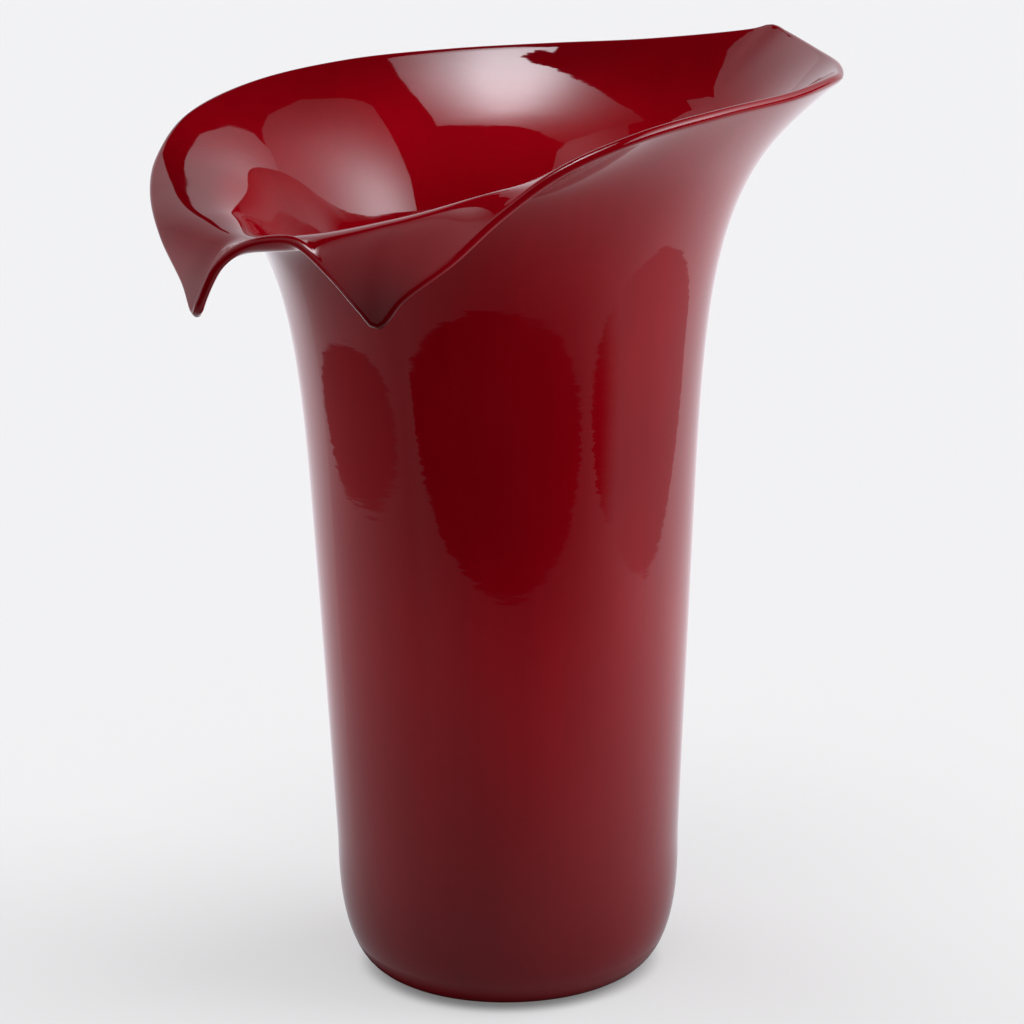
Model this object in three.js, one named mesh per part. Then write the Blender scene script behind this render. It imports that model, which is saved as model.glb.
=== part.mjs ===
// A blown-glass vase shaped like a calla lily: one piece of opaque red glass, empty and open at the top.
// A tapered beaker stands on a rounded foot and opens into a trumpet, whose lip is pulled out to four tips.
// Two tips stand high on the right, and two hang over at the front left, with a saddle between them.
// Millimetres, +Z up, origin at the middle of the flat foot, and the front of the vase towards -Y.
import * as THREE from 'three';

// Foot and body
const footRadius = 43.6;
const footHeight = 53;
const footSquareness = 2.57;
const coneRadius = 63.5;
const coneTaper = 0.051;
const flareStart = 190;

// Glass
const wall = 3.8;
const floorThickness = 12;
const insideCorner = 30;
const glassColour = 0x7a0a10;
const glassRoughness = 0.08;

// The lip, as points on the middle of its rounded edge, anticlockwise seen from above
const lip = [
  [60, 104.5, 342.5], [21, 111.5, 340], [-18.5, 113, 338], [-58, 107, 335.5], [-93, 91, 331],
  [-118, 57, 325], [-127.5, 24, 316], [-128, -6, 309], [-122, -41, 300], [-113, -65, 288.5],
  [-109, -76.5, 280.5], [-107, -79, 286], [-101, -81, 298], [-93, -83.5, 305], [-80.5, -89.5, 309.5],
  [-71, -95.5, 309.5], [-59, -103.5, 300], [-48.5, -112, 289.5], [-43, -115, 284.5], [-35, -115.5, 293.5],
  [-17, -117.5, 307.5], [0.5, -116, 323], [21.5, -115.5, 338], [49.5, -106, 348], [78.5, -87, 352],
  [105, -58, 352], [121.5, -27, 351.5], [126, -8, 350], [126.5, 14, 349.5], [121, 44, 349],
  [111.5, 77, 350], [107, 85, 351], [101, 88, 349],
];

// The shoulder that the wall bends over on its way to the lip: azimuth in degrees, radius, height, how far
// the wall runs straight on above the cone, where the bend to the lip begins, how far the wall runs on there
const shoulder = [
  [0, 82, 316, 95, 0.75, 13.5], [40, 83.5, 314, 91, 0.75, 13.5], [90, 85, 311, 90, 0.75, 13.5],
  [135, 88, 310.5, 85, 0.75, 13.5], [175, 95, 314, 130, 0.75, 13], [200, 110, 310, 134, 0.74, 12],
  [216, 117, 307, 134, 0.74, 9], [232, 113, 317, 132, 0.8, 3], [250, 106, 334.5, 122, 0.8, 2.5],
  [266, 101, 346, 112, 0.8, 3], [285, 92, 341, 112, 0.7, 11], [320, 85, 321, 108, 0.75, 13.5],
];

// The lip at rest, before its tips were pulled, is an average over this many degrees to either side
const restSpread = 20;

// Mesh
const columnsPerPoint = 4;
const footRings = 7;
const flareRings = 7;
const hemRings = 5;
const edgeRings = 5;
const insideCornerRings = 5;

const degree = Math.PI / 180;
const fullTurn = 2 * Math.PI;
const columns = lip.length * columnsPerPoint;
const lastWallRing = flareRings + hemRings;

const coneRadiusAt = (height) => coneRadius + coneTaper * height;
const azimuthOf = (point) => Math.atan2(point.y, point.x);
const radiusOf = (point) => Math.hypot(point.x, point.y);
const shortTurn = (angle) => angle - fullTurn * Math.round(angle / fullTurn);
const at = (azimuth, radius, height) =>
  new THREE.Vector3(radius * Math.cos(azimuth), radius * Math.sin(azimuth), height);

// One closed smooth curve through the lip's points, cut into one point for each column of the mesh
const lipCurve = new THREE.CatmullRomCurve3(lip.map((p) => new THREE.Vector3(...p)), true, 'centripetal');
const lipPoints = Array.from({ length: columns }, (_, column) => lipCurve.getPoint(column / columns));
const azimuths = lipPoints.map(azimuthOf);

// The lip before its tips were pulled: each column's radius and height, averaged over its neighbours
const restingLip = azimuths.map((azimuth) => {
  const rest = new THREE.Vector2();
  let weights = 0;
  lipPoints.forEach((point, other) => {
    const before = azimuths[(other + columns - 1) % columns];
    const after = azimuths[(other + 1) % columns];
    const away = shortTurn(azimuths[other] - azimuth) / (restSpread * degree);
    const weight = Math.abs(shortTurn(after - before)) * Math.exp(-0.5 * away * away);
    weights += weight;
    rest.addScaledVector(new THREE.Vector2(radiusOf(point), point.z), weight);
  });
  return rest.divideScalar(weights);
});

// A smooth value round the shoulder, through one item of its stations
function aroundShoulder(azimuth, item) {
  const count = shoulder.length;
  const angle = (((azimuth / degree) % 360) + 360) % 360;
  let here = count - 1;
  while (shoulder[here][0] > angle) here -= 1;
  const station = (index) => shoulder[(index + count) % count][item];
  const gap = (index) =>
    (shoulder[(index + 1 + count) % count][0] - shoulder[(index + count) % count][0] + 360) % 360;
  const rise = (index) => (station(index + 1) - station(index)) / gap(index);
  const slope = (index) =>
    (rise(index - 1) * gap(index) + rise(index) * gap(index - 1)) / (gap(index) + gap(index - 1));
  const t = (angle - shoulder[here][0]) / gap(here);
  const start = slope(here) * gap(here);
  const end = slope(here + 1) * gap(here);
  const delta = station(here + 1) - station(here);
  return station(here) + t * start + t * t * (3 * delta - 2 * start - end)
    + t * t * t * (start + end - 2 * delta);
}

// The middle of the wall in each column, as radius and height: one curve from the top of the cone to the
// bend, and a second that runs straight on for a little and bends to the lip
const profiles = azimuths.map((azimuth, column) => {
  const [radius, height, run, bend, reach] = [1, 2, 3, 4, 5].map((item) => aroundShoulder(azimuth, item));
  const startRadius = coneRadiusAt(flareStart) - wall / 2;
  const flare = new THREE.CubicBezierCurve(
    new THREE.Vector2(startRadius, flareStart),
    new THREE.Vector2(startRadius + coneTaper * run, flareStart + run),
    new THREE.Vector2(radius, height),
    restingLip[column],
  );
  const knee = flare.getPoint(bend);
  const hem = new THREE.QuadraticBezierCurve(
    knee,
    knee.clone().addScaledVector(flare.getTangent(bend), reach),
    new THREE.Vector2(radiusOf(lipPoints[column]), lipPoints[column].z),
  );
  return { flare, bend, hem };
});

// Middle of the wall in one column, from ring 0 at the top of the cone to the last ring at the lip
function wallPoint(column, ring) {
  const { flare, bend, hem } = profiles[column];
  const place = ring <= flareRings
    ? flare.getPoint((ring / flareRings) * bend)
    : hem.getPoint((ring - flareRings) / hemRings);
  return at(azimuths[column], place.x, place.y);
}

// Outward normal of the middle of the wall, and the direction in which the wall runs on to the lip
function wallDirections(column, ring) {
  const step = 0.1;
  const low = Math.max(0, ring - step);
  const high = Math.min(lastWallRing, ring + step);
  const onward = wallPoint(column, high).sub(wallPoint(column, low)).normalize();
  const around = wallPoint((column + 1) % columns, ring)
    .sub(wallPoint((column + columns - 1) % columns, ring));
  const normal = around.clone().cross(onward).normalize();
  return { normal, onward: normal.clone().cross(around).normalize() };
}

// Rings of the closed skin, from the underside of the foot up the outside, over the lip and down inside
const rings = [];

const addRing = (pointAt) => rings.push(Array.from({ length: columns }, (_, column) => pointAt(column)));
const addRoundRing = (radius, height) => addRing((column) => at(azimuths[column], radius, height));

function addFoot() {
  const bulge = coneRadiusAt(footHeight) - footRadius;
  for (let ring = 0; ring <= footRings; ring += 1) {
    const turn = (ring / footRings) * (Math.PI / 2);
    const outward = Math.sin(turn) ** (2 / footSquareness);
    const upward = 1 - Math.cos(turn) ** (2 / footSquareness);
    addRoundRing(footRadius + bulge * outward, footHeight * upward);
  }
}

function addWall(side) {
  for (let step = 0; step <= lastWallRing; step += 1) {
    const ring = side > 0 ? step : lastWallRing - step;
    addRing((column) => {
      const { normal } = wallDirections(column, ring);
      return wallPoint(column, ring).addScaledVector(normal, (side * wall) / 2);
    });
  }
}

function addLipEdge() {
  for (let ring = 1; ring <= edgeRings; ring += 1) {
    const turn = (ring / (edgeRings + 1)) * Math.PI;
    addRing((column) => {
      const { normal, onward } = wallDirections(column, lastWallRing);
      return wallPoint(column, lastWallRing)
        .addScaledVector(normal, (Math.cos(turn) * wall) / 2)
        .addScaledVector(onward, (Math.sin(turn) * wall) / 2);
    });
  }
}

function addInsideCorner() {
  const cornerTop = floorThickness + insideCorner;
  const flatRadius = coneRadiusAt(cornerTop) - wall - insideCorner;
  for (let ring = insideCornerRings; ring >= 0; ring -= 1) {
    const turn = (ring / insideCornerRings) * (Math.PI / 2);
    addRoundRing(flatRadius + insideCorner * Math.sin(turn), cornerTop - insideCorner * Math.cos(turn));
  }
}

// A fan closes each end of the stack of rings, and two triangles fill each gap between neighbours
function closedSkin(firstCentre, lastCentre) {
  const points = [firstCentre, ...rings.flat(), lastCentre];
  const index = (ring, column) => 1 + ring * columns + (column % columns);
  const faces = [];
  for (let column = 0; column < columns; column += 1) {
    faces.push(0, index(0, column + 1), index(0, column));
    for (let ring = 0; ring + 1 < rings.length; ring += 1) {
      const [a, b] = [index(ring, column), index(ring, column + 1)];
      const [c, d] = [index(ring + 1, column), index(ring + 1, column + 1)];
      faces.push(a, b, d, a, d, c);
    }
    faces.push(points.length - 1, index(rings.length - 1, column), index(rings.length - 1, column + 1));
  }
  const geometry = new THREE.BufferGeometry().setFromPoints(points);
  geometry.setIndex(faces);
  geometry.computeVertexNormals();
  return geometry;
}

addFoot();
addWall(1);
addLipEdge();
addWall(-1);
addInsideCorner();

const red = new THREE.MeshStandardMaterial({ color: glassColour, roughness: glassRoughness, metalness: 0 });
const vase = new THREE.Mesh(
  closedSkin(new THREE.Vector3(0, 0, 0), new THREE.Vector3(0, 0, floorThickness)),
  red,
);
vase.name = 'vase';

const group = new THREE.Group();
group.add(vase);

export default group;
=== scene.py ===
# A glass vase in the shape of a calla lily, deep red and opaque, standing empty on a white table.
# Metres, +Z up, the origin in the middle of the foot, and the front of the vase towards -Y.
import math
import bpy
import numpy as np
from mathutils import Matrix, Vector


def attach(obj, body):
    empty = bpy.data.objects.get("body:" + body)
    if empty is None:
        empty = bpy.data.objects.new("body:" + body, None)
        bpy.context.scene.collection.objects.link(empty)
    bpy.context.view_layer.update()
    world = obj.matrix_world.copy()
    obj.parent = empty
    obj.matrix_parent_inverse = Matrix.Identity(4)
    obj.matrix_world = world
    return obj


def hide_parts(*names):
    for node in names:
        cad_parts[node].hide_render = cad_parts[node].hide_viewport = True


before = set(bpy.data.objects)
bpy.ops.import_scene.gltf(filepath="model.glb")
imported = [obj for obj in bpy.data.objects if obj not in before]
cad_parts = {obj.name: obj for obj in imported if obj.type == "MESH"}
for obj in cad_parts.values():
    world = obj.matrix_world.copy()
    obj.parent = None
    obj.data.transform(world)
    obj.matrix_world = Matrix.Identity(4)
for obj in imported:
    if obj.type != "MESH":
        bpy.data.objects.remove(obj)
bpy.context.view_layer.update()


# The vase
# One gather of red glass, blown into a tapered beaker on a rounded foot and opened into a trumpet.
# While it was soft, its lip was pulled out to four tips: two that hang at the front left, and two that
# stand high on the right. The lip's edge is round from the fire, and nothing is joined on.

mm = 0.001

foot_radius = 43.6
foot_height = 53.0
foot_squareness = 2.57
cone_radius = 63.5
cone_taper = 0.051
flare_start = 190.0

wall = 3.8
floor_thickness = 12.0
inside_corner = 30.0

# Points on the middle of the lip's rounded edge, in millimetres, anticlockwise seen from above
lip = [
    (60, 104.5, 342.5), (21, 111.5, 340), (-18.5, 113, 338), (-58, 107, 335.5), (-93, 91, 331),
    (-118, 57, 325), (-127.5, 24, 316), (-128, -6, 309), (-122, -41, 300), (-113, -65, 288.5),
    (-109, -76.5, 280.5), (-107, -79, 286), (-101, -81, 298), (-93, -83.5, 305), (-80.5, -89.5, 309.5),
    (-71, -95.5, 309.5), (-59, -103.5, 300), (-48.5, -112, 289.5), (-43, -115, 284.5),
    (-35, -115.5, 293.5), (-17, -117.5, 307.5), (0.5, -116, 323), (21.5, -115.5, 338),
    (49.5, -106, 348), (78.5, -87, 352), (105, -58, 352), (121.5, -27, 351.5), (126, -8, 350),
    (126.5, 14, 349.5), (121, 44, 349), (111.5, 77, 350), (107, 85, 351), (101, 88, 349),
]

# The shoulder that the wall bends over on its way to the lip: azimuth in degrees, radius, height, how
# far the wall runs straight on above the cone, where the bend to the lip begins, and how far the wall
# runs on there
shoulder = [
    (0, 82, 316, 95, 0.75, 13.5), (40, 83.5, 314, 91, 0.75, 13.5), (90, 85, 311, 90, 0.75, 13.5),
    (135, 88, 310.5, 85, 0.75, 13.5), (175, 95, 314, 130, 0.75, 13), (200, 110, 310, 134, 0.74, 12),
    (216, 117, 307, 134, 0.74, 9), (232, 113, 317, 132, 0.8, 3), (250, 106, 334.5, 122, 0.8, 2.5),
    (266, 101, 346, 112, 0.8, 3), (285, 92, 341, 112, 0.7, 11), (320, 85, 321, 108, 0.75, 13.5),
]

# The lip at rest, before the tips were pulled, is an average over this much of its neighbours
rest_spread = math.radians(20)

# Rings of the skin that close the underside and the floor, as shares of the radius there
underside_shares = (0.4, 0.97)
floor_share = 0.5

columns = 336
foot_rings = 18
cone_rings = 40
flare_rings = 64
hem_rings = 28
edge_rings = 11
inside_rings = 24
inside_corner_rings = 12


def smooth_loop(points, count):
    """One closed smooth curve through the points, cut into equal steps of its length."""
    points = np.array(points, float)
    steps_between = 60
    t = np.linspace(0, 1, steps_between, endpoint=False)[:, None]
    gaps = np.sqrt(np.linalg.norm(np.roll(points, -1, 0) - points, axis=1))
    pieces = []
    for here in range(len(points)):
        before, start, end, after = (points[(here + k) % len(points)] for k in (-1, 0, 1, 2))
        gap_before, gap, gap_after = (gaps[(here + k) % len(points)] for k in (-1, 0, 1))
        leave = (start - before) / gap_before - (end - before) / (gap_before + gap) + (end - start) / gap
        arrive = (end - start) / gap - (after - start) / (gap + gap_after) + (after - end) / gap_after
        pieces.append(
            (2 * t**3 - 3 * t**2 + 1) * start + (t**3 - 2 * t**2 + t) * leave * gap
            + (3 * t**2 - 2 * t**3) * end + (t**3 - t**2) * arrive * gap
        )
    fine = np.concatenate(pieces + [points[:1]])
    length = np.r_[0, np.cumsum(np.linalg.norm(np.diff(fine, axis=0), axis=1))]
    wanted = np.linspace(0, length[-1], count, endpoint=False)
    return np.stack([np.interp(wanted, length, fine[:, axis]) for axis in range(3)], 1)


def smooth_round(azimuth, stations, values):
    """A smooth value all the way round, through the values given at the stations' azimuths."""
    stations = np.radians(stations)
    values = np.array(values, float)
    ends = np.r_[stations, stations[0] + 2 * math.pi]
    gap = np.diff(ends)
    rise = (np.roll(values, -1) - values) / gap
    gap_before = np.roll(gap, 1)
    slope = (np.roll(rise, 1) * gap + rise * gap_before) / (gap + gap_before)
    angle = azimuth % (2 * math.pi)
    here = np.clip(np.searchsorted(ends, angle, side="right") - 1, 0, len(values) - 1)
    following = (here + 1) % len(values)
    t = (angle - ends[here]) / gap[here]
    return (
        (2 * t**3 - 3 * t**2 + 1) * values[here] + (t**3 - 2 * t**2 + t) * slope[here] * gap[here]
        + (3 * t**2 - 2 * t**3) * values[following] + (t**3 - t**2) * slope[following] * gap[here]
    )


def short_turn(angle):
    """The same turn, taken the short way round."""
    return (angle + math.pi) % (2 * math.pi) - math.pi


edge_line = smooth_loop(lip, columns)
azimuth = np.arctan2(edge_line[:, 1], edge_line[:, 0])
edge_radius = np.hypot(edge_line[:, 0], edge_line[:, 1])
edge_height = edge_line[:, 2]

# The lip before its tips were pulled: its radius and height averaged over the neighbours
apart = short_turn(azimuth[:, None] - azimuth[None])
width = np.abs(short_turn(np.roll(azimuth, -1) - np.roll(azimuth, 1)))
weight = np.exp(-0.5 * (apart / rest_spread) ** 2) * width[None]
weight /= weight.sum(1, keepdims=True)
resting_radius = weight @ edge_radius
resting_height = weight @ edge_height

# The middle of the wall in each column: one curve from the top of the cone to the bend, and a second
# that runs straight on for a little and bends to the lip
stations, *measures = zip(*shoulder)
shoulder_radius, shoulder_height, run, bend, reach = (
    smooth_round(azimuth, stations, measure) for measure in measures
)
start_radius = cone_radius + cone_taper * flare_start - wall / 2
start = np.stack([np.full(columns, start_radius), np.full(columns, flare_start)])
straight = start + run * np.array([[cone_taper], [1.0]])
turning = np.stack([shoulder_radius, shoulder_height])
resting = np.stack([resting_radius, resting_height])
edge_place = np.stack([edge_radius, edge_height])


def bent(t, a, b, c):
    """A curve from a to c that leaves and arrives in the direction of b."""
    return (1 - t) ** 2 * a + 2 * (1 - t) * t * b + t**2 * c


def cubic(t, a, b, c, d):
    """A curve from a to d that leaves towards b and arrives from c."""
    return (1 - t) ** 3 * a + 3 * (1 - t) ** 2 * t * b + 3 * (1 - t) * t**2 * c + t**3 * d


def cubic_slope(t, a, b, c, d):
    """The direction of that curve."""
    return (1 - t) ** 2 * (b - a) + 2 * (1 - t) * t * (c - b) + t**2 * (d - c)


knee = cubic(bend, start, straight, turning, resting)
knee_slope = cubic_slope(bend, start, straight, turning, resting)
corner = knee + reach * knee_slope / np.linalg.norm(knee_slope, axis=0)
flare_steps = np.linspace(0, 1, flare_rings)[:, None, None]
flare_rows = cubic(flare_steps * bend, start, straight, turning, resting)
hem_steps = np.linspace(0, 1, hem_rings + 1)[1:, None, None]
hem_rows = bent(hem_steps, knee, corner, edge_place)
flare_radius, flare_height = np.concatenate([flare_rows, hem_rows]).transpose(1, 0, 2)


def around_axis(radius, height):
    """One row of points for each radius and height, all the way round the vase's axis."""
    radius = np.broadcast_to(radius, np.broadcast_shapes(np.shape(radius), (1, columns)))
    height = np.broadcast_to(height, radius.shape)
    return np.stack([radius * np.cos(azimuth), radius * np.sin(azimuth), height], -1)


def column(values):
    """The values one below the other, one for each row of points."""
    return np.asarray(values, float)[:, None]


flare = around_axis(flare_radius, flare_height)
around = np.roll(flare, -1, 1) - np.roll(flare, 1, 1)
onward = np.gradient(flare, axis=0)
outward = np.cross(around, onward)
outward /= np.linalg.norm(outward, axis=2, keepdims=True)
edge_onward = np.cross(outward[-1], around[-1])
edge_onward /= np.linalg.norm(edge_onward, axis=1, keepdims=True)

# The skin in rows, from the underside of the foot up the outside, over the lip and down the inside
quarter = np.linspace(0, math.pi / 2, foot_rings)
foot_bulge = cone_radius + cone_taper * foot_height - foot_radius
foot_profile = foot_radius + foot_bulge * np.sin(quarter) ** (2 / foot_squareness)
foot_rise = foot_height * (1 - np.cos(quarter) ** (2 / foot_squareness))
cone_rise = np.linspace(foot_height, flare_start, cone_rings)[1:-1]

half_turn = np.linspace(0, math.pi, edge_rings + 2)[1:-1][:, None, None]
edge = flare[-1] + (np.cos(half_turn) * outward[-1] + np.sin(half_turn) * edge_onward) * wall / 2

corner_top = floor_thickness + inside_corner
corner_middle = cone_radius + cone_taper * corner_top - wall - inside_corner
inside_drop = np.linspace(flare_start, corner_top, inside_rings)[1:-1]
inside_quarter = np.linspace(math.pi / 2, 0, inside_corner_rings)

rows = np.concatenate([
    around_axis(column([foot_radius * share for share in underside_shares]), 0.0),
    around_axis(column(foot_profile), column(foot_rise)),
    around_axis(column(cone_radius + cone_taper * cone_rise), column(cone_rise)),
    flare + outward * wall / 2,
    edge,
    (flare - outward * wall / 2)[::-1],
    around_axis(column(cone_radius + cone_taper * inside_drop - wall), column(inside_drop)),
    around_axis(
        column(corner_middle + inside_corner * np.sin(inside_quarter)),
        column(corner_top - inside_corner * np.cos(inside_quarter)),
    ),
    around_axis(column([corner_middle * floor_share]), floor_thickness),
])

row_count = len(rows)
points = np.concatenate([[[0, 0, 0]], rows.reshape(-1, 3), [[0, 0, floor_thickness]]]) * mm
last_point = len(points) - 1
top = 1 + (row_count - 1) * columns
faces = []
for here in range(columns):
    after = (here + 1) % columns
    faces.append((0, 1 + after, 1 + here))
    for row in range(row_count - 1):
        low = 1 + row * columns
        high = low + columns
        faces.append((low + here, low + after, high + after, high + here))
    faces.append((last_point, top + here, top + after))

vase_mesh = bpy.data.meshes.new("calla_vase_glass")
vase_mesh.from_pydata(points.tolist(), [], faces)
vase_mesh.shade_smooth()
vase = bpy.data.objects.new("calla_vase_glass", vase_mesh)
bpy.context.scene.collection.objects.link(vase)

# The glass. Painted shade makes its red deepest low down and at the hanging tips, and painted light
# makes it lightest inside the mouth; the red also shifts a little in soft clouds and in thin streaks
# drawn up along the wall. The skin has faint rings from the blowing and a few wide, shallow swells from
# the tools, and its polish varies a little.
plain_red = 0.166
green_share = 0.002
blue_share = 0.02
glass_ior = 1.5
ring_height = 0.00002
swell_height = 0.00015

# Places where painted shade makes the red darker or painted light makes it lighter than around them: the
# middle of the place, the distance up to which it has this share of the colour, the distance from which
# it has all of it, and the share
painted_light_and_shade_places = [
    # Painted shade at the two hanging tips, round the left of the lip and low on the inside at the left;
    # painted light on the inside at the back and on the flare at the front right
    ((-0.043, -0.115, 0.2845), 0.0, 0.035, 0.3),
    ((-0.109, -0.0765, 0.2805), 0.0, 0.03, 0.7),
    ((-0.115, -0.03, 0.34), 0.04, 0.13, 0.68),
    ((-0.09, 0.085, 0.335), 0.01, 0.06, 0.78),
    ((-0.075, 0.06, 0.3), 0.02, 0.06, 0.8),
    ((0.02, 0.085, 0.3), 0.01, 0.055, 1.25),
    ((0.08, -0.08, 0.3), 0.03, 0.09, 1.15),
]


def place_in(tree):
    """The place on the object, for the nodes that need it."""
    return tree.nodes.new("ShaderNodeTexCoord").outputs["Object"]


def operation(tree, kind, first, second):
    """One sum on two values, each a number or the output of a node."""
    node = tree.nodes.new("ShaderNodeMath")
    node.operation = kind
    for socket, value in zip(node.inputs, (first, second)):
        if isinstance(value, (int, float)):
            socket.default_value = value
        else:
            tree.links.new(value, socket)
    return node.outputs["Value"]


def on_vectors(tree, kind, first, second=None):
    """One sum on vectors, each the output of a node or, for the second, three numbers."""
    node = tree.nodes.new("ShaderNodeVectorMath")
    node.operation = kind
    tree.links.new(first, node.inputs[0])
    if isinstance(second, tuple):
        node.inputs[1].default_value = second
    elif second is not None:
        tree.links.new(second, node.inputs[1])
    gives_a_number = kind in ("DISTANCE", "DOT_PRODUCT", "LENGTH")
    return node.outputs["Value" if gives_a_number else "Vector"]


def ranged(tree, value, low, high, at_low, at_high):
    """A value that goes softly from one number to another as the given one goes from low to high."""
    node = tree.nodes.new("ShaderNodeMapRange")
    node.interpolation_type = "SMOOTHSTEP"
    node.inputs["From Min"].default_value = low
    node.inputs["From Max"].default_value = high
    node.inputs["To Min"].default_value = at_low
    node.inputs["To Max"].default_value = at_high
    tree.links.new(value, node.inputs["Value"])
    return node.outputs["Result"]


def noise(tree, stretch, scale, detail):
    """Soft noise in the glass, stretched along x, y and z."""
    spread = tree.nodes.new("ShaderNodeMapping")
    spread.inputs["Scale"].default_value = stretch
    tree.links.new(place_in(tree), spread.inputs["Vector"])
    node = tree.nodes.new("ShaderNodeTexNoise")
    node.inputs["Scale"].default_value = scale
    node.inputs["Detail"].default_value = detail
    tree.links.new(spread.outputs["Vector"], node.inputs["Vector"])
    return node.outputs["Fac"]


red_glass = bpy.data.materials.new("red_glass")
red_glass.use_nodes = True
in_glass = red_glass.node_tree
glass = in_glass.nodes["Principled BSDF"]
glass.inputs["IOR"].default_value = glass_ior

split = in_glass.nodes.new("ShaderNodeSeparateXYZ")
in_glass.links.new(place_in(in_glass), split.inputs["Vector"])
height = split.outputs["Z"]

# Which way the skin faces: 1 straight out from the vase's axis, -1 straight in
facing = in_glass.nodes.new("ShaderNodeNewGeometry")
level_place = on_vectors(in_glass, "MULTIPLY", place_in(in_glass), (1, 1, 0))
from_axis = on_vectors(in_glass, "NORMALIZE", level_place)
outwards = on_vectors(in_glass, "DOT_PRODUCT", facing.outputs["Normal"], from_axis)

# Painted light: the inside is brighter than the outside deep down, and painted shade makes it a little
# darker up at the lip
facing_in = ranged(in_glass, outwards, low=0.1, high=-0.5, at_low=0.0, at_high=1.0)
painted_light_inside = ranged(in_glass, height, low=0.305, high=0.345, at_low=0.75, at_high=-0.2)
painted_light_shade_and_tone = operation(in_glass, "ADD", 1.0, operation(in_glass, "MULTIPLY", facing_in, painted_light_inside))

clouds = noise(in_glass, stretch=(1, 1, 0.6), scale=22, detail=2)
streaks = noise(in_glass, stretch=(1, 1, 0.06), scale=170, detail=3)
shares = [
    # Painted shade: the red is darker low down, towards the foot
    ranged(in_glass, height, low=0.0, high=0.15, at_low=0.55, at_high=1.06),
    ranged(in_glass, height, low=0.15, high=0.2, at_low=1.0, at_high=0.93),
    ranged(in_glass, clouds, low=0.3, high=0.7, at_low=0.94, at_high=1.06),
    ranged(in_glass, streaks, low=0.25, high=0.75, at_low=0.97, at_high=1.03),
]
for centre, near, far, share in painted_light_and_shade_places:
    away = on_vectors(in_glass, "DISTANCE", place_in(in_glass), centre)
    shares.append(ranged(in_glass, away, low=near, high=far, at_low=share, at_high=1.0))
for share in shares:
    painted_light_shade_and_tone = operation(in_glass, "MULTIPLY", painted_light_shade_and_tone, share)
red = operation(in_glass, "MULTIPLY", painted_light_shade_and_tone, plain_red)
colour = in_glass.nodes.new("ShaderNodeCombineColor")
in_glass.links.new(red, colour.inputs["Red"])
in_glass.links.new(operation(in_glass, "MULTIPLY", red, green_share), colour.inputs["Green"])
in_glass.links.new(operation(in_glass, "MULTIPLY", red, blue_share), colour.inputs["Blue"])
in_glass.links.new(colour.outputs["Color"], glass.inputs["Base Color"])

patches = noise(in_glass, stretch=(1, 1, 1), scale=35, detail=3)
dullness = ranged(in_glass, patches, low=0.3, high=0.7, at_low=0.02, at_high=0.055)
in_glass.links.new(dullness, glass.inputs["Roughness"])

ring_noise = noise(in_glass, stretch=(0.25, 0.25, 1), scale=260, detail=2)
swell_noise = noise(in_glass, stretch=(1, 1, 0.7), scale=30, detail=1)
rings = operation(in_glass, "MULTIPLY", ring_noise, ring_height)
swells = operation(in_glass, "MULTIPLY", swell_noise, swell_height)
relief = in_glass.nodes.new("ShaderNodeBump")
relief.inputs["Strength"].default_value = 1.0
relief.inputs["Distance"].default_value = 1.0
in_glass.links.new(operation(in_glass, "ADD", rings, swells), relief.inputs["Height"])
in_glass.links.new(relief.outputs["Normal"], glass.inputs["Normal"])
vase_mesh.materials.append(red_glass)

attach(vase, "root")
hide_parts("vase")


# The table
# A plain white table top, seen as one pale surface from edge to edge. It glows with a little painted
# light
# of its own, less of it in a narrow painted shadow round the foot. The glass doesn't mirror this table:
# what it mirrors is built further down, with the studio.

table_radius = 8.0
table_sides = 96
own_light = 0.465
own_light_by_the_foot = 0.16
painted_shadow_starts = 0.05
painted_shadow_ends = 0.061

turns = np.linspace(0, 2 * math.pi, table_sides, endpoint=False)


def disc(radius, height):
    """The corners of a level disc round the vase's axis."""
    return [(radius * math.cos(a), radius * math.sin(a), height) for a in turns]


table_mesh = bpy.data.meshes.new("white_table")
table_mesh.from_pydata(disc(table_radius, 0), [], [range(table_sides)])
table = bpy.data.objects.new("white_table", table_mesh)
bpy.context.scene.collection.objects.link(table)
table.visible_glossy = False

white_table = bpy.data.materials.new("white_table")
white_table.use_nodes = True
in_table = white_table.node_tree
white = in_table.nodes["Principled BSDF"]
white.inputs["Base Color"].default_value = (0.28, 0.28, 0.284, 1)
white.inputs["Emission Color"].default_value = (1, 1, 1.01, 1)
white.inputs["Roughness"].default_value = 0.9
white.inputs["Specular IOR Level"].default_value = 0.0
from_middle = on_vectors(in_table, "LENGTH", place_in(in_table))
# Painted light: the table glows by itself, and a painted shadow dims that glow close round the foot
light_given = ranged(
    in_table, from_middle,
    low=painted_shadow_starts, high=painted_shadow_ends, at_low=own_light_by_the_foot, at_high=own_light,
)
in_table.links.new(light_given, white.inputs["Emission Strength"])
table_mesh.materials.append(white_table)


# The light
# A pale room, a soft key light low on the right, a soft fill low behind on the left, and a soft light
# overhead. They light the surfaces, and the glass mirrors the studio's panels in their place.

world = bpy.data.worlds.new("pale_room")
bpy.context.scene.world = world
world.use_nodes = True
world.cycles_visibility.glossy = False
room = world.node_tree.nodes["Background"]
room.inputs["Color"].default_value = (0.97, 0.97, 1, 1)
room.inputs["Strength"].default_value = 0.32


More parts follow.
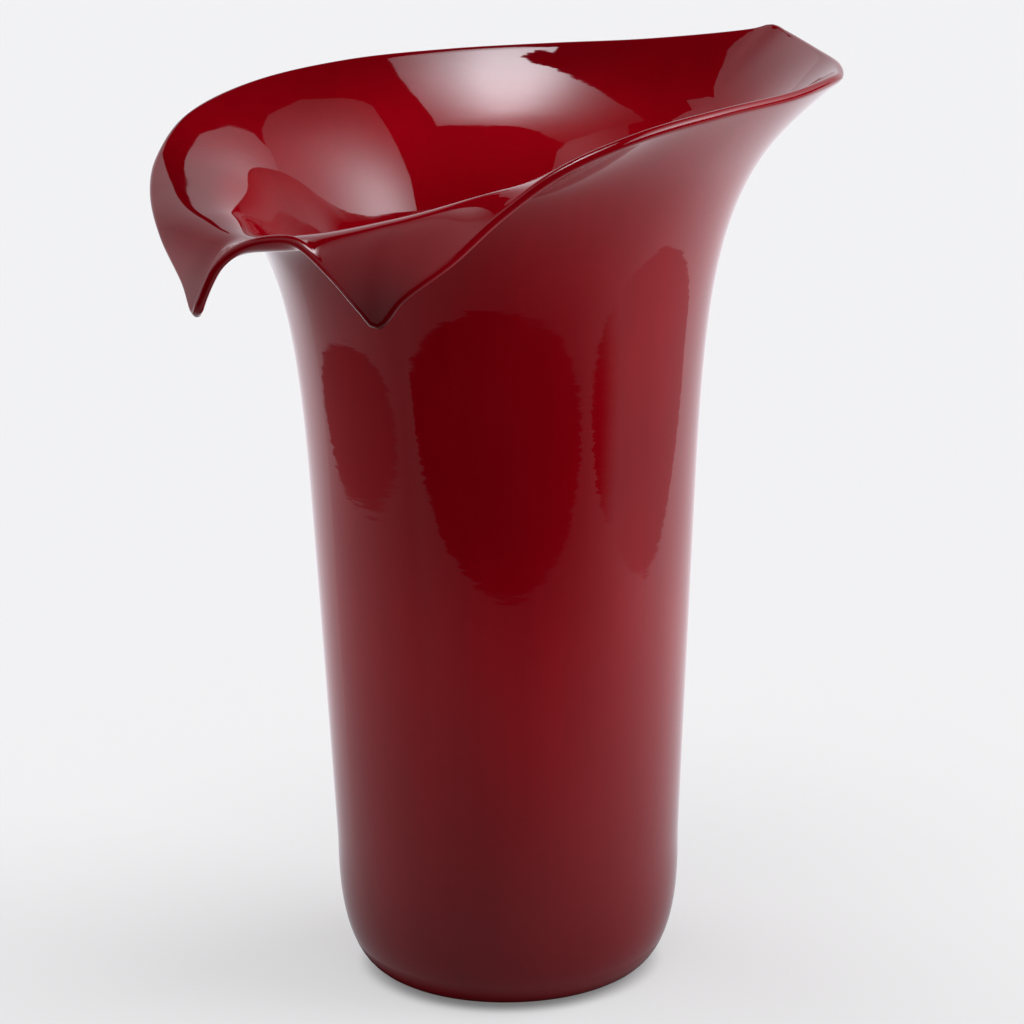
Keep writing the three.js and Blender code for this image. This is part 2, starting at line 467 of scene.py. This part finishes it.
def soft_sun(name, azimuth, elevation, spread, strength):
    """A far, wide light from one side, which the glass doesn't mirror. The angles are in degrees."""
    light = bpy.data.lights.new(name, "SUN")
    light.energy = strength
    light.angle = math.radians(spread)
    sun = bpy.data.objects.new(name, light)
    side = math.radians(azimuth)
    rise = math.radians(elevation)
    level_part = math.cos(rise)
    towards = Vector((math.cos(side) * level_part, math.sin(side) * level_part, math.sin(rise)))
    sun.rotation_euler = towards.to_track_quat("Z", "Y").to_euler()
    sun.visible_glossy = False
    bpy.context.scene.collection.objects.link(sun)


soft_sun("key_from_the_right", azimuth=5, elevation=14, spread=70, strength=5.5)
soft_sun("fill_from_behind_on_the_left", azimuth=150, elevation=8, spread=60, strength=3.8)
soft_sun("softbox_overhead", azimuth=-107, elevation=78, spread=40, strength=1.5)


# The studio that the glass mirrors
# White paper on a small table, curled up at its edge in front and on the left, with dim floor beyond
# it at both sides; a white backdrop with a pale wall to its left; a softbox hung overhead, a tall white
# scrim lit from behind on the right, and a grey card close by in front. None of them is lit: each is a
# panel that glows with painted light of its own.

cool_white = (1, 1, 1.06, 1)


def fading(tree, centre, peak, reach, fade):
    """A value that is at its peak in the centre and falls to half of that at the reach."""
    away = on_vectors(tree, "DISTANCE", place_in(tree), centre)
    drop = operation(tree, "POWER", operation(tree, "DIVIDE", away, reach), fade)
    return operation(tree, "DIVIDE", peak, operation(tree, "ADD", drop, 1.0))


def front_to_back(tree, front, back, across, darkest, brightest):
    """A value that rises from the front to the back, along y and a share of x."""
    along = on_vectors(tree, "DOT_PRODUCT", place_in(tree), (across, 1, 0))
    return ranged(tree, along, front, back, darkest, brightest)


def glow(name, centre, peak, reach, fade, level=0.0, ramp=None):
    """Light that fades from its centre, over an even level or over a level that rises to the back."""
    material = bpy.data.materials.new(name)
    material.use_nodes = True
    material.cycles.emission_sampling = "NONE"
    tree = material.node_tree
    tree.nodes.clear()
    under = front_to_back(tree, **ramp) if ramp else level
    light = operation(tree, "ADD", fading(tree, centre, peak, reach, fade), under)
    shine = tree.nodes.new("ShaderNodeEmission")
    shine.inputs["Color"].default_value = cool_white
    tree.links.new(operation(tree, "MAXIMUM", light, 0.0), shine.inputs["Strength"])
    out = tree.nodes.new("ShaderNodeOutputMaterial")
    tree.links.new(shine.outputs["Emission"], out.inputs["Surface"])
    return material


def panel(name, corners, material):
    """A flat panel that only the glass's reflections see."""
    mesh = bpy.data.meshes.new(name)
    mesh.from_pydata(corners, [], [range(len(corners))])
    mesh.materials.append(material)
    made = bpy.data.objects.new(name, mesh)
    bpy.context.scene.collection.objects.link(made)
    for ray in ("camera", "diffuse", "transmission", "volume_scatter", "shadow"):
        setattr(made, "visible_" + ray, False)


softbox_height = 1.4
softbox_outline = [
    (0.07, -0.08), (0.15, -0.2), (0.2, -0.31), (0.24, -0.46), (0.285, -0.71), (0.0, -0.84),
    (-0.3, -0.92), (-0.61, -1.02), (-1.03, -1.12), (-1.12, -0.07), (-0.87, -0.16), (-0.54, -0.235),
    (-0.35, -0.34), (-0.225, -0.4), (-0.175, -0.385), (-0.217, -0.31), (-0.15, -0.2),
]
panel(
    "overhead_softbox",
    [(x, y, softbox_height) for x, y in softbox_outline],
    glow("softbox_glow", (-0.15, -0.47, softbox_height), peak=14.0, reach=0.22, fade=3.0),
)

scrim_distance = 1.0
scrim_outline = [
    (-1.22, 0.5), (1.45, 0.5), (1.6, 1.1), (1.65, 2.6), (1.0, 3.4), (0.1, 3.3), (-0.5, 3.0),
    (-0.85, 2.2), (-1.2, 1.3),
]
panel(
    "right_scrim",
    [(scrim_distance, y, z) for y, z in scrim_outline],
    glow("scrim_glow", (scrim_distance, -0.55, 0.75), peak=6.6, reach=0.52, fade=2.3, level=0.13),
)

backdrop_distance = 1.5
backdrop_outline = [
    (-0.34, -0.1), (2.2, -0.1), (1.4, 0.65), (1.12, 0.88), (0.97, 1.46), (0.75, 1.7), (0.42, 1.65),
    (0.08, 1.53), (-0.18, 1.25), (-0.34, 1.15),
]
panel(
    "backdrop",
    [(x, backdrop_distance, z) for x, z in backdrop_outline],
    glow("backdrop_glow", (-0.2, backdrop_distance, 0.3), peak=0.5, reach=0.5, fade=2.0, level=0.5),
)

tall_wall_outline = [
    (-0.34, -0.1), (-0.34, 1.06), (-0.43, 1.12), (-0.43, 1.7), (-0.7, 1.95), (-0.8, 2.1), (-0.9, 2.35),
    (-1.05, 2.6), (-1.2, 2.85), (-1.3, 2.9), (-1.4, 2.4), (-1.6, 2.05), (-1.8, 2.35), (-2.4, 3.0),
    (-3.2, 3.8), (-3.2, -0.1),
]
panel(
    "pale_wall_behind_on_the_left",
    [(x, backdrop_distance, z) for x, z in tall_wall_outline],
    glow("back_wall_glow", (-0.4, backdrop_distance, 0.5), peak=0.7, reach=0.45, fade=2.0, level=0.4),
)

left_wall_corners = [
    (-1.8, 1.5, -0.1), (-1.5, 0.1, -0.1), (-1.5, -0.5, -0.1), (-1.5, -0.5, 1.2), (-1.5, 0.1, 1.5),
    (-1.8, 1.5, 2.1),
]
panel(
    "pale_wall_on_the_left",
    left_wall_corners,
    glow("left_wall_glow", (-1.5, 0.2, 0.5), peak=0.9, reach=0.6, fade=2.0, level=0.4),
)

card_corners = [
    (-0.1, -0.335, 0.33), (-0.36, -0.31, 0.33), (-0.5, -0.1, 0.33), (-0.5, -0.1, 0.85),
    (-0.36, -0.31, 0.77), (-0.3, -0.32, 0.72), (-0.24, -0.325, 0.64), (-0.18, -0.33, 0.42),
    (-0.1, -0.335, 0.38),
]
panel(
    "grey_card_in_front_on_the_left",
    card_corners,
    glow("card_glow", (-0.3, -0.32, 0.66), peak=0.8, reach=0.2, fade=2.0),
)

# The paper's painted light is dimmer round the vase, with painted shade where the vase stands in its
# light, and brighter towards the back. In front and on the left it curls up, from the line where it
# leaves the table to its edge
curl_foot = [
    (0.25, -0.25, 0), (0.15, -0.24, 0), (0.03, -0.23, 0), (-0.05, -0.19, 0), (-0.08, -0.16, 0),
    (-0.1, -0.15, 0), (-0.12, -0.14, 0), (-0.14, -0.12, 0), (-0.142, -0.117, 0), (-0.15, -0.02, 0),
    (-0.15, 0.05, 0), (-0.16, 0.056, 0),
]
curl_edge = [
    (0.35, -0.428, 0), (0.169, -0.416, 0.015), (0.048, -0.384, 0.034), (-0.094, -0.315, 0.067),
    (-0.159, -0.254, 0.095), (-0.186, -0.224, 0.11), (-0.197, -0.205, 0.119), (-0.29, -0.225, 0.112),
    (-0.275, -0.195, 0.095), (-0.3, -0.032, 0.104), (-0.36, 0.17, 0.09), (-0.6, 0.34, 0),
]
paper_ramp = {"front": -0.5, "back": 0.4, "across": 0.25, "darkest": 0.04, "brightest": 1.1}
paper_light = glow("paper_glow", (0, 0, 0), peak=-0.38, reach=0.115, fade=2.6, ramp=paper_ramp)
for step in range(len(curl_edge) - 1):
    corners = [curl_foot[step], curl_edge[step], curl_edge[step + 1], curl_foot[step + 1]]
    panel("curled_paper", corners, paper_light)

paper_outline = [
    (0.35, -0.428), (0.38, -0.425), (0.455, -0.41), (0.465, -0.36), (0.485, -0.25), (0.495, 0.0),
    (0.54, 0.15), (0.62, 0.37), (2.2, 1.5), (-2.4, 1.5),
]
panel("paper_on_the_table", [(x, y, 0) for x, y in paper_outline] + curl_foot[::-1], paper_light)

# A dark disc of painted shadow round the foot, for the glass to mirror
shadow_radius = 0.063
shadow_height = 0.0005
panel(
    "shadow_by_the_foot",
    disc(shadow_radius, shadow_height),
    glow("foot_shadow", (-0.003, 0, shadow_height), peak=-0.25, reach=0.0585, fade=30.0, level=0.25),
)

floor_height = -0.01
right_floor = [(0.3, -0.41), (2.5, -0.41), (2.5, 1.8), (0.3, 0.2)]
right_ramp = {"front": -0.36, "back": -0.22, "across": 0.0, "darkest": 0.0, "brightest": 0.47}
panel(
    "dim_floor_on_the_right",
    [(x, y, floor_height) for x, y in right_floor],
    glow("dim_right", (0, 0, 0), peak=0.0, reach=1.0, fade=1.0, ramp=right_ramp),
)
left_floor = [(-0.3, -0.3), (-2.5, -0.4), (-2.5, 1.66), (-0.3, 0.13)]
panel(
    "dim_floor_on_the_left",
    [(x, y, floor_height) for x, y in left_floor],
    glow("dim_left", (-1.2, 0.3, 0), peak=0.45, reach=0.5, fade=2.0),
)


# The camera
# At the photograph's place: a long lens well in front and a little above the lip, looking down at the
# vase, with the top leaning slightly to the left.

camera_place = Vector((0, -1.6476, 0.6657))
focal_pixels = 4500
frame_pixels = 1024
sensor_width = 36
lean = math.radians(0.8)
foot_seen_at = (509.2, 955.3)

# It is aimed so that the middle of the foot is seen at that point of the frame
right_of_middle = foot_seen_at[0] - frame_pixels / 2
below_middle = foot_seen_at[1] - frame_pixels / 2
level_right = right_of_middle * math.cos(lean) - below_middle * math.sin(lean)
level_down = right_of_middle * math.sin(lean) + below_middle * math.cos(lean)
down_to_foot = math.atan2(camera_place.z, -camera_place.y)
below_axis = math.atan(level_down / focal_pixels)
tilt = down_to_foot - below_axis
turn = -math.atan(level_right / focal_pixels / math.cos(below_axis))
forward = Vector((math.sin(turn) * math.cos(tilt), math.cos(turn) * math.cos(tilt), -math.sin(tilt)))
level = Vector((math.cos(turn), -math.sin(turn), 0))
upright = level.cross(forward)
sideways = level * math.cos(lean) - upright * math.sin(lean)
upwards = sideways.cross(forward)

camera_data = bpy.data.cameras.new("camera")
camera_data.sensor_width = sensor_width
camera_data.lens = focal_pixels / frame_pixels * sensor_width
camera = bpy.data.objects.new("camera", camera_data)
camera.matrix_world = Matrix((
    (sideways.x, upwards.x, -forward.x, camera_place.x),
    (sideways.y, upwards.y, -forward.y, camera_place.y),
    (sideways.z, upwards.z, -forward.z, camera_place.z),
    (0, 0, 0, 1),
))
bpy.context.scene.collection.objects.link(camera)
bpy.context.scene.camera = camera
bpy.context.scene.view_settings.view_transform = "Standard"
